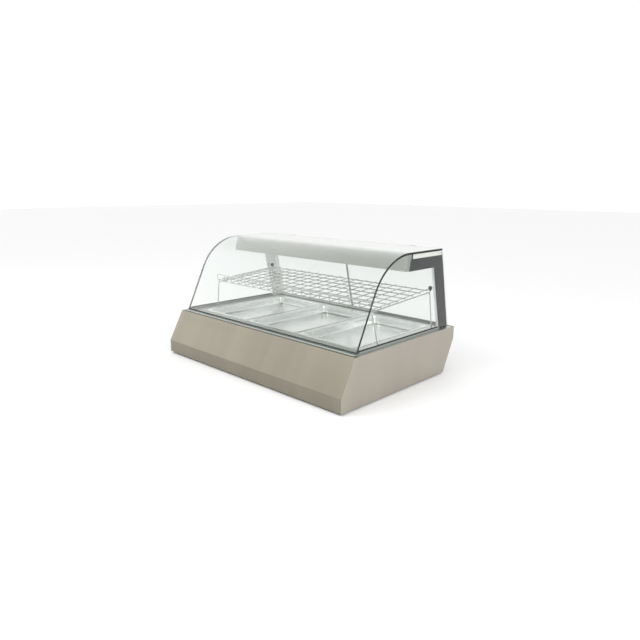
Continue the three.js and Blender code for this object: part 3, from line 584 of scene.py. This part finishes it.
PAN_RINGS = [  # width, length, corner radius, height above the rim's underside
    (324.6, 529.6, 17.8, 0.1), (325, 530, 18, 0.5), (324.4, 529.4, 17.7, 1.0), (323, 528, 17, 1.15),
    (312, 517, 22, 1.15), (307, 513, 34, 1.0), (304.6, 510.6, 37, 0.4), (303.2, 509.2, 37, -1.0),
    (302, 508, 37, -3.6), (300, 506, 36.5, -26), (298.4, 504.4, 36, -31), (294.6, 500.6, 35, -35.2),
    (288.4, 494.4, 33, -37.4), (280, 486, 30, -38.0), (120, 320, 20, -37.7),
]
for place, x in (("left", -342.5), ("centre", 0.0), ("right", 342.5)):
    low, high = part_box(f"pan_{place}")
    rim = high.z * 1000 - 8 - 1.0
    middle_y = (low.y + high.y) / 2 * 1000 + 400
    vertices, faces = [], []
    for width, length, radius, height in PAN_RINGS:
        vertices += [cabinet_mm(x + px, middle_y + py, rim + height)
                     for px, py in rounded_ring(width, length, radius)]
    round_count = len(vertices) // len(PAN_RINGS)
    for r in range(len(PAN_RINGS) - 1):
        for k in range(round_count):
            n = (k + 1) % round_count
            faces.append((r * round_count + k, r * round_count + n,
                          (r + 1) * round_count + n, (r + 1) * round_count + k))
    faces.append(tuple(range((len(PAN_RINGS) - 1) * round_count, len(vertices))))
    pan = built_piece(f"pan_{place}_pressing", vertices, faces, pan_steel, f"pan_{place}",
                      [f"pan_{place}"], degrees=60)
    wall = pan.modifiers.new("sheet", "SOLIDIFY")
    wall.thickness = 0.0008
    wall.offset = 0


# ---- Sills ---------------------------------------------------------------------------------
# Satin anodised aluminium extrusions screwed to the deck: the front sill carries the curved
# glass on its seal, the ledge behind it catches drips, and the side sills hold the panes.
anodised = solid_finish(
    "anodised_aluminium", (0.36, 0.385, 0.365), (0.30, 0.325, 0.305), (0.55, 0.56, 0.54), 0.85,
    (0.30, 0.42), (12, 900, 900), 0.006)
side_sill_finish = solid_finish(
    "anodised_aluminium_side", (0.36, 0.385, 0.365), (0.30, 0.325, 0.305), (0.55, 0.56, 0.54), 0.85,
    (0.30, 0.42), (900, 12, 900), 0.006)
dressed("front_sill", anodised, 0.6, segments=3)
dressed("front_ledge", anodised, 0.4)
for side in ("left", "right"):
    dressed(f"{side}_sill", side_sill_finish, 0.4)


# ---- Curved glass, side panes and seals ------------------------------------------------------
# The hood is one pane of toughened glass, bent to an arc between a leaning front and a flat
# top. It closes on rubber seals against flat side panes. All edges are ground and polished.
HOOD_TOP, HOOD_RADIUS, HOOD_ARC_Y = 571, 251, 432
HOOD_LEAN = math.radians(25.3)
HOOD_BOTTOM, HOOD_REAR_Y = 214, 676
GLASS, GLASS_HALF, SEAL, GAP = 5, 570, 3, 0.3


def hood_line(inset, bottom, rear_y, steps=56):
    """The hood's line this far inside its outer face, from the bottom up and round to the rear."""
    radius = HOOD_RADIUS - inset
    centre_z = HOOD_TOP - HOOD_RADIUS
    shoulder_y = HOOD_ARC_Y - radius * math.cos(HOOD_LEAN)
    shoulder_z = centre_z + radius * math.sin(HOOD_LEAN)
    line = []
    for k in range(7):
        z = bottom + (shoulder_z - bottom) * k / 7
        line.append((shoulder_y - (shoulder_z - z) * math.tan(HOOD_LEAN), z))
    for k in range(steps + 1):
        angle = math.pi - HOOD_LEAN + (math.pi / 2 - math.pi + HOOD_LEAN) * k / steps
        line.append((HOOD_ARC_Y + radius * math.cos(angle), centre_z + radius * math.sin(angle)))
    for k in range(1, 7):
        line.append((HOOD_ARC_Y + (rear_y - HOOD_ARC_Y) * k / 6, HOOD_TOP - inset))
    return [Vector(p) for p in line]


def glass_finish(name, face_axis, tint, edge_tint):
    """Clear toughened glass: pale green, darker where its cut edge shows, with faint wipe marks.
    face_axis points out of the pane's edge; shadows pass through it lightly tinted."""
    finish = bpy.data.materials.new(name)
    finish.use_nodes = True
    tree = finish.node_tree
    shader = tree.nodes["Principled BSDF"]
    shader.inputs["Transmission Weight"].default_value = 1.0
    shader.inputs["Metallic"].default_value = 0.0
    shader.inputs["IOR"].default_value = 1.33
    facing = tree.nodes.new("ShaderNodeNewGeometry")
    along_edge = tree.nodes.new("ShaderNodeVectorMath")
    along_edge.operation = "DOT_PRODUCT"
    along_edge.inputs[1].default_value = face_axis
    tree.links.new(facing.outputs["True Normal"], along_edge.inputs[0])
    face = maths(tree, "ABSOLUTE", along_edge.outputs["Value"])
    is_face = ranged(tree, face, 0.0, 1.0, 0.6, 0.8)
    wiped = placed(tree, patches_group, Patches_Per_Metre=4.0, Specks_Per_Metre=60.0)
    streaks = placed(tree, grain_group, Lines_Per_Metre=(14, 14, 5))
    haze = maths(tree, "MULTIPLY", wiped.outputs["Patches"], streaks.outputs["Lines"])
    tree.links.new(ranged(tree, haze, 0.0, 0.06, 0.28, 0.45), shader.inputs["Roughness"])
    tree.links.new(between(tree, is_face, edge_tint, tint), shader.inputs["Base Color"])
    clear = tree.nodes.new("ShaderNodeBsdfTransparent")
    clear.inputs["Color"].default_value = (0.93, 0.97, 0.94, 1)
    rays = tree.nodes.new("ShaderNodeLightPath")
    choice = tree.nodes.new("ShaderNodeMixShader")
    tree.links.new(rays.outputs["Is Shadow Ray"], choice.inputs[0])
    tree.links.new(shader.outputs[0], choice.inputs[1])
    tree.links.new(clear.outputs[0], choice.inputs[2])
    tree.links.new(choice.outputs[0], tree.nodes["Material Output"].inputs["Surface"])
    return finish, is_face


def face_of_bent_pane(finish):
    """On the bent hood the edges are the faces that look along x, so its mask is turned round."""
    for node in finish.node_tree.nodes:
        if node.type == "MAP_RANGE" and abs(node.inputs["From Min"].default_value - 0.6) < 1e-6:
            node.inputs["To Min"].default_value, node.inputs["To Max"].default_value = 1.0, 0.0


FACE_TINT, EDGE_TINT = (0.928, 0.945, 0.934), (0.10, 0.20, 0.17)
hood_glass, _ = glass_finish("hood_glass", (1, 0, 0), FACE_TINT, EDGE_TINT)
face_of_bent_pane(hood_glass)
side_glass, _ = glass_finish("side_glass", (1, 0, 0), FACE_TINT, EDGE_TINT)

hood = strip_along_x("curved_glass_pane", hood_line(0, HOOD_BOTTOM, HOOD_REAR_Y),
                     hood_line(GLASS, HOOD_BOTTOM, HOOD_REAR_Y), -GLASS_HALF, GLASS_HALF,
                     hood_glass, "front_glass", ["curved_glass"])
eased_edges(hood, 0.7, segments=2, degrees=60)

seal_outer = GLASS + GAP
seal_inner = seal_outer + SEAL
pane_inset = seal_inner + GAP
for side, sign in (("left", -1), ("right", 1)):
    inner_x, outer_x = sorted((sign * (GLASS_HALF - GLASS), sign * GLASS_HALF))
    strip = strip_along_x(f"{side}_glass_seal_strip", hood_line(seal_outer, HOOD_BOTTOM, HOOD_REAR_Y - 2),
                          hood_line(seal_inner, HOOD_BOTTOM, HOOD_REAR_Y - 2), inner_x, outer_x,
                          black_rubber, "cabinet", [f"{side}_glass_seal"])
    eased_edges(strip, 0.8, segments=3, degrees=60)
    low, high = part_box(f"{side}_side_glass")
    pane_bottom = low.z * 1000 - 8
    outline = hood_line(pane_inset, pane_bottom, HOOD_REAR_Y - 2) + [Vector((748, pane_bottom))]
    count = len(outline)
    vertices = [cabinet_mm(x, *p) for x in (inner_x, outer_x) for p in outline]
    faces = [tuple(range(count)), tuple(range(2 * count - 1, count - 1, -1))]
    faces += [(i, (i + 1) % count, count + (i + 1) % count, count + i) for i in range(count)]
    pane = built_piece(f"{side}_side_glass_pane", vertices, faces, side_glass, "cabinet",
                       [f"{side}_side_glass"])
    eased_edges(pane, 0.7, segments=2, degrees=60)
    gasket_top = (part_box(f"{side}_sill")[1].z * 1000 - 8) + 2.2
    sill_front, sill_rear = (v.y * 1000 + 400 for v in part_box(f"{side}_sill"))
    for place, near, far in (("inner", GLASS_HALF - GLASS - 3.4, GLASS_HALF - GLASS - 0.1),
                             ("outer", GLASS_HALF + 0.1, GLASS_HALF + 3.4)):
        low_x, high_x = sorted((sign * near, sign * far))
        wedge = [Vector(p) for p in ((sill_front + 1, gasket_top - 2.1), (sill_front + 3.2, gasket_top),
                                     (sill_rear - 3, gasket_top), (sill_rear - 0.8, gasket_top - 2.1))]
        foot = [Vector((p.x, gasket_top - 2.2)) for p in wedge]
        gasket = strip_along_x(f"{side}_pane_gasket_{place}", wedge, foot, low_x, high_x,
                               black_rubber, "cabinet")
        eased_edges(gasket, 0.7, segments=3, degrees=50)
grey_rubber = solid_finish(
    "grey_rubber", (0.07, 0.075, 0.073), (0.09, 0.095, 0.092), (0.13, 0.13, 0.128), 0.0, (0.6, 0.8),
    (700, 700, 700), 0.02, specular=0.3)
dressed("front_glass_seal", grey_rubber, 0.5, segments=2)


# ---- End frames and their covers -------------------------------------------------------------
# A stainless post and arm at each end carry the canopy. Thin powder-coated covers hide them
# from outside, with a small upright tab behind the canopy's front.
frame_steel = solid_finish(
    "frame_steel", (0.74, 0.75, 0.73), (0.66, 0.67, 0.65), (0.85, 0.85, 0.84), 0.75, (0.30, 0.42),
    (900, 900, 20), 0.006)
anthracite_powder = solid_finish(
    "anthracite_powder", (0.010, 0.0098, 0.0125), (0.014, 0.0138, 0.017), (0.06, 0.06, 0.065), 0.0,
    (0.5, 0.65), (1800, 1800, 1800), 0.03, specular=0.18)
for side in ("left", "right"):
    dressed(f"{side}_end_frame", frame_steel, 0.8, segments=3)
    dressed(f"{side}_post_cover", anthracite_powder, 0.4)


# ---- Canopy: fascia, lamp housing, reflector and lamp ----------------------------------------
# A folded grey fascia and a cream enamelled housing span the arms. In the housing a bright
# reflector backs one long heating lamp between two ceramic sockets.
fascia_grey = solid_finish(
    "fascia_grey", (0.36, 0.37, 0.345), (0.31, 0.32, 0.295), (0.42, 0.43, 0.41), 0.75, (0.26, 0.36),
    (15, 1000, 1000), 0.002, rub_width=0.0005)
cream_enamel = solid_finish(
    "cream_enamel", (0.80, 0.795, 0.765), (0.76, 0.75, 0.715), (0.85, 0.85, 0.83), 0.0, (0.28, 0.40),
    (400, 400, 400), 0.01, coat=0.2)
white_ceramic = solid_finish(
    "white_ceramic", (0.80, 0.80, 0.77), (0.74, 0.73, 0.70), (0.62, 0.60, 0.56), 0.0, (0.30, 0.45),
    (500, 500, 500), 0.01)
dressed("fascia", fascia_grey, 1.2, segments=3)
dressed("lamp_housing", cream_enamel, 1.5, segments=3)
dressed("lamp_reflector", pan_steel, 0.3)

lamp_glass = solid_finish(
    "lamp_glass", (0.95, 0.90, 0.78), (0.90, 0.84, 0.70), (0.95, 0.92, 0.85), 0.0, (0.20, 0.35),
    (60, 60, 60), 0.004)
glow_tree = lamp_glass.node_tree
glow_shader = glow_tree.nodes["Principled BSDF"]
glow_shader.inputs["Emission Strength"].default_value = 1.2
glow_patches = placed(glow_tree, patches_group, Patches_Per_Metre=9.0, Specks_Per_Metre=60.0)
glow_tree.links.new(between(glow_tree, ranged(glow_tree, glow_patches.outputs["Patches"], 0.0, 1.0),
                            (1.0, 0.86, 0.62), (1.0, 0.80, 0.52)), glow_shader.inputs["Emission Color"])
low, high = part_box("lamp_tube")
lamp_start = Vector((low.x, (low.y + high.y) / 2, (low.z + high.z) / 2))
tube_length = (high.x - low.x) * 1000
turned("lamp_tube_glass", [
    (0, 0.2), (5.2, 0.2), (5.8, 0.8), (5.8, 5.5), (7.2, 7.0), (7.6, 9.0), (8.0, 12.0), (8.0, 40.0),
    (8.0, tube_length - 40), (8.0, tube_length - 12), (7.6, tube_length - 9), (7.2, tube_length - 7),
    (5.8, tube_length - 5.5), (5.8, tube_length - 0.8), (5.2, tube_length - 0.2), (0, tube_length - 0.2),
], lamp_start, (1, 0, 0), lamp_glass, "cabinet", ["lamp_tube"])
for side, sign in (("left", -1), ("right", 1)):
    dressed(f"lamp_socket_{side}", white_ceramic, 1.5, segments=3)
    cap_start = Vector((sign * (high.x + 0.0001), lamp_start.y, lamp_start.z))
    turned(f"lamp_cap_{side}", [(6.0, -0.2), (8.6, 0.0), (8.8, 0.4), (8.8, 9.0), (8.4, 9.6), (8.1, 9.7)],
           cap_start, (-sign, 0, 0), stainless, "cabinet", sides=32)


# ---- Rear tracks and sliding doors -----------------------------------------------------------
# Grooved aluminium tracks on the deck and under the canopy guide two glass doors. Each door
# has an aluminium edge profile that is also its pull.
dressed("door_bottom_track", anodised, 0.3)
dressed("rear_top_rail", anodised, 0.3)
WALL_LEAN = math.radians(12.7)
door_facing = (0, math.cos(WALL_LEAN), math.sin(WALL_LEAN))
door_glass, _ = glass_finish("door_glass", door_facing, FACE_TINT, EDGE_TINT)
for side in ("left", "right"):
    dressed(f"{side}_door_glass", door_glass, 0.5)
    dressed(f"{side}_door_edge", side_sill_finish, 0.4)


# ---- Hinges of the curved glass ----------------------------------------------------------------
# Two stainless hinges behind the canopy: a leaf screwed to the rear rail, a clamp bonded under
# the pane, and a pin with peened ends.
for side, sign in (("left", -1), ("right", 1)):
    dressed(f"hinge_leaf_{side}", stainless, 0.3)
    dressed(f"glass_clamp_{side}", stainless, 0.3)
    dressed(f"hinge_pin_{side}", stainless, 0.4)
    low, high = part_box(f"hinge_leaf_{side}")
    for i, offset in enumerate((-8, 8)):
        head = Vector(((low.x + high.x) / 2 + offset / 1000, low.y + 0.0024, low.z + 0.009))
        turned(f"hinge_screw_{side}_{i + 1}", [
            (3.4, 0.0), (3.4, 0.3), (2.6, 1.1), (1.5, 1.5), (0.9, 1.5), (0.7, 0.5), (0, 0.5),
        ], head, (0, 1, 0), stainless, "cabinet", sides=24)


# ---- Wire shelf ----------------------------------------------------------------------------------
# A chromed wire grid, tilted towards the customer. Each cross wire turns up at the front into
# a low gallery. Two bent leg frames stand on the deck, and rubber bumpers sit on the rear wire.
wire_chrome = solid_finish(
    "wire_chrome", (0.60, 0.615, 0.605), (0.52, 0.535, 0.525), (0.75, 0.76, 0.75), 1.0, (0.12, 0.24),
    (200, 200, 200), 0.006, patches=14)
SHELF_HALF, SHELF_DEPTH, GALLERY = 518, 387, 34
LONG_WIRE, CROSS_WIRE, LEG_WIRE = 5, 4, 6
SHELF_TILT = math.radians(4.9)
shelf_place = Matrix.Translation(cabinet_mm(0, 262, 347)) @ Matrix.Rotation(SHELF_TILT, 4, "X")


def on_shelf(x, y, z):
    return shelf_place @ (Vector((x, y, z)) / 1000)


long_lines = [[on_shelf(-SHELF_HALF, SHELF_DEPTH * i / 7, 0), on_shelf(SHELF_HALF, SHELF_DEPTH * i / 7, 0)]
              for i in range(7)]
rear_wire = [(-524.1, SHELF_DEPTH + 3, 6.7), (-SHELF_HALF + 2, SHELF_DEPTH, 0),
             (SHELF_HALF - 2, SHELF_DEPTH, 0), (524.1, SHELF_DEPTH + 3, 6.7)]
long_lines.append([on_shelf(*p) for p in bent_line(rear_wire, 8)])
long_lines.append([on_shelf(-SHELF_HALF, -4, GALLERY), on_shelf(SHELF_HALF, -4, GALLERY)])
wires("shelf_long_wires", long_lines, LONG_WIRE, wire_chrome, "shelf", ["shelf_grid"])
cross_z = (LONG_WIRE + CROSS_WIRE) / 2 - 0.6
cross_lines = []
for i in range(19):
    x = (i / 18 - 0.5) * 2 * (SHELF_HALF - 4)
    bent = bent_line([(x, SHELF_DEPTH + 4, cross_z), (x, -4, cross_z), (x, -4, GALLERY)], 6)
    cross_lines.append([on_shelf(*p) for p in bent])
wires("shelf_cross_wires", cross_lines, CROSS_WIRE, wire_chrome, "shelf")

leg_drop = (LONG_WIRE + LEG_WIRE) / 2 + 0.3
rear_z = 347 + SHELF_DEPTH * math.tan(SHELF_TILT)
for side, sign in (("left", -1), ("right", 1)):
    legs = [(sign * 540, 270, 206.3), (sign * 512, 262, 347 - leg_drop),
            (sign * 531, 649, rear_z - leg_drop), (sign * 540, 662, 206.3)]
    wires(f"shelf_legs_{side}_rod", [[cabinet_mm(*p) for p in bent_line(legs, 10)]], LEG_WIRE,
          wire_chrome, "shelf", [f"shelf_legs_{side}"], resolution=4)
    low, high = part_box(f"shelf_bumper_{side}")
    bumper_middle = Vector(((low.x + high.x) / 2, (low.y + high.y) / 2, high.z - 0.009))
    turned(f"shelf_bumper_{side}_rubber", [
        (0, -15.0), (2.9, -15.0), (3.5, -14.4), (3.5, -9.2), (4.4, -8.2), (6.8, -7.2), (8.4, -5.0),
        (9.0, -2.6), (9.0, -1.2), (8.4, -0.7), (8.4, 0.7), (9.0, 1.2), (9.0, 2.6), (8.4, 5.0),
        (6.8, 7.2), (4.4, 8.6), (0, 9.0),
    ], bumper_middle, (0, 0, 1), black_rubber, "shelf", [f"shelf_bumper_{side}"], sides=32)


# ---- Controls ------------------------------------------------------------------------------------
# On the rear lip: a thermostat knob with a fluted grip, a temperature display, and two rocker
# switches. The thermostat's body is inside, behind the panel.
black_plastic = solid_finish(
    "black_plastic", (0.022, 0.022, 0.024), (0.032, 0.032, 0.034), (0.09, 0.09, 0.09), 0.0, (0.35, 0.52),
    (1500, 1500, 1500), 0.02)
white_plastic = solid_finish(
    "white_plastic", (0.78, 0.78, 0.75), (0.72, 0.72, 0.69), (0.82, 0.82, 0.80), 0.0, (0.35, 0.5),
    (600, 600, 600), 0.01)
display_window = solid_finish(
    "display_window", (0.03, 0.006, 0.006), (0.045, 0.008, 0.008), (0.08, 0.03, 0.03), 0.0, (0.08, 0.16),
    (80, 80, 80), 0.002, coat=0.5)
dressed("thermostat_body", white_plastic, 2.0, segments=3)

low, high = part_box("thermostat_knob")
knob_centre = Vector(((low.x + high.x) / 2, 0.380, 0.185))


def fluted(angle, radius, height):
    grip = 5 < height < 19 and radius > 12
    return 1 + (0.022 * math.cos(18 * angle) if grip else 0)


turned("thermostat_knob_grip", [
    (0, -14), (4, -14), (4, 1), (18.4, 1), (19, 1.6), (19, 3.2), (18.3, 4), (16.2, 5.2), (15.4, 6.4),
    (15.2, 9), (14.9, 13), (14.6, 17.4), (14.0, 19.2), (12.6, 20), (9.0, 20), (8.2, 19.4), (0, 19.4),
], knob_centre, (0, 1, 0), black_plastic, "thermostat_knob", ["thermostat_knob"],
    sides=108, wave=fluted)
pointer_low, pointer_high = Vector((-1.3, 3.5, 8.5)), Vector((1.3, 20.0, 17.2))


def block(name, low_mm, high_mm, origin, finish, body, edge_mm, stands_for=()):
    """A small moulded block between two corners, with eased edges."""
    corners = [(x, y, z) for x in (low_mm[0], high_mm[0]) for y in (low_mm[1], high_mm[1])
               for z in (low_mm[2], high_mm[2])]
    vertices = [Vector(c) / 1000 + origin for c in corners]
    faces = [(0, 1, 3, 2), (4, 6, 7, 5), (0, 4, 5, 1), (2, 3, 7, 6), (0, 2, 6, 4), (1, 5, 7, 3)]
    piece = built_piece(name, vertices, faces, finish, body, stands_for)
    return eased_edges(piece, edge_mm, segments=3, degrees=30)


block("thermostat_pointer", pointer_low, pointer_high, knob_centre, white_plastic,
      "thermostat_knob", 0.6)
for i in range(11):
    angle = math.radians(270) * i / 10
    tick = block(f"dial_tick_{i + 1:02d}", (-0.6, 0, 21.5), (0.6, 0.25, 25.0 if i % 5 == 0 else 23.8),
                 Vector((0, 0, 0)), black_plastic, "cabinet", 0.1)
    turn = (Matrix.Translation(Vector((knob_centre.x, 0.38005, knob_centre.z)))
            @ Matrix.Rotation(angle, 4, "Y"))
    tick.data.transform(turn)

dressed("temperature_display", black_plastic, 0.8, segments=3)
low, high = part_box("temperature_display")
display_centre = Vector(((low.x + high.x) / 2, high.y, (low.z + high.z) / 2))
block("display_window_pane", (-26, -0.6, -9), (26, 0.35, 9), display_centre, display_window,
      "cabinet", 0.3)

for switch in ("heat_switch", "light_switch"):
    dressed(switch, black_plastic, 0.8, segments=3, degrees=20)
    low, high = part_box(switch)
    middle_x = (low.x + high.x) / 2 * 1000
    bezel_y, outside, inside = 780, rounded_ring(25, 37, 2.5, 4), rounded_ring(18.8, 30.6, 1.0, 4)
    vertices, faces = [], []
    for ring, depth in (
            (outside, 0.3), (outside, 1.6), (rounded_ring(24, 36, 2.2, 4), 2.2), (inside, 2.2),
            (inside, 0.3)):
        vertices += [cabinet_mm(middle_x + px, bezel_y + depth, 177 + pz) for px, pz in ring]
    ring_size = len(outside)
    for r in range(5):
        for k in range(ring_size):
            n, s = (k + 1) % ring_size, (r + 1) % 5
            faces.append((r * ring_size + k, r * ring_size + n, s * ring_size + n, s * ring_size + k))
    built_piece(f"{switch}_bezel", vertices, faces, black_plastic, "cabinet")


# ---- Cable gland and panel screws ------------------------------------------------------------------
# A moulded gland with a hexagonal body and a slotted dome, set square to the sloping rear.
# Pan-head screws hold the rear panel to the end panels' flanges.
rear_slope = math.atan2(75, 149)
slope_out = Vector((0, math.cos(rear_slope), -math.sin(rear_slope)))
gland_place = cabinet_mm(480, 780 - 37.5, 74.5)


def six_sided(angle, _radius, height):
    """The nut on the gland is a hexagon: out at its corners and in at its flats."""
    flat = math.cos((angle % (math.pi / 3)) - math.pi / 6)
    return 0.9 / flat if 1.0 < height < 8.0 else 1


turned("cable_gland_body", [
    (4.0, -14), (7.5, -14), (7.5, 0.3), (11.6, 0.3), (12.0, 0.7), (12.0, 1.6), (11.9, 7.4), (11.2, 8.1),
    (9.4, 8.3), (9.2, 9.0), (9.0, 12.0), (8.2, 14.6), (6.6, 15.8), (4.4, 16.0), (4.0, 15.6), (4.0, 10.0),
], gland_place, slope_out, black_plastic, "cabinet", ["cable_gland"], sides=48,
    wave=six_sided)

for i, x in enumerate((-560, -120, 240, 560)):
    turned(f"rear_panel_screw_{i + 1}", [
        (3.9, 0.0), (3.9, 0.4), (3.0, 1.5), (1.6, 2.0), (1.0, 2.0), (0.8, 0.9), (0, 0.9),
    ], cabinet_mm(x, 780, 177), (0, 1, 0), stainless, "cabinet", sides=24)


# ---- Finish --------------------------------------------------------------------------------------
bpy.context.view_layer.update()
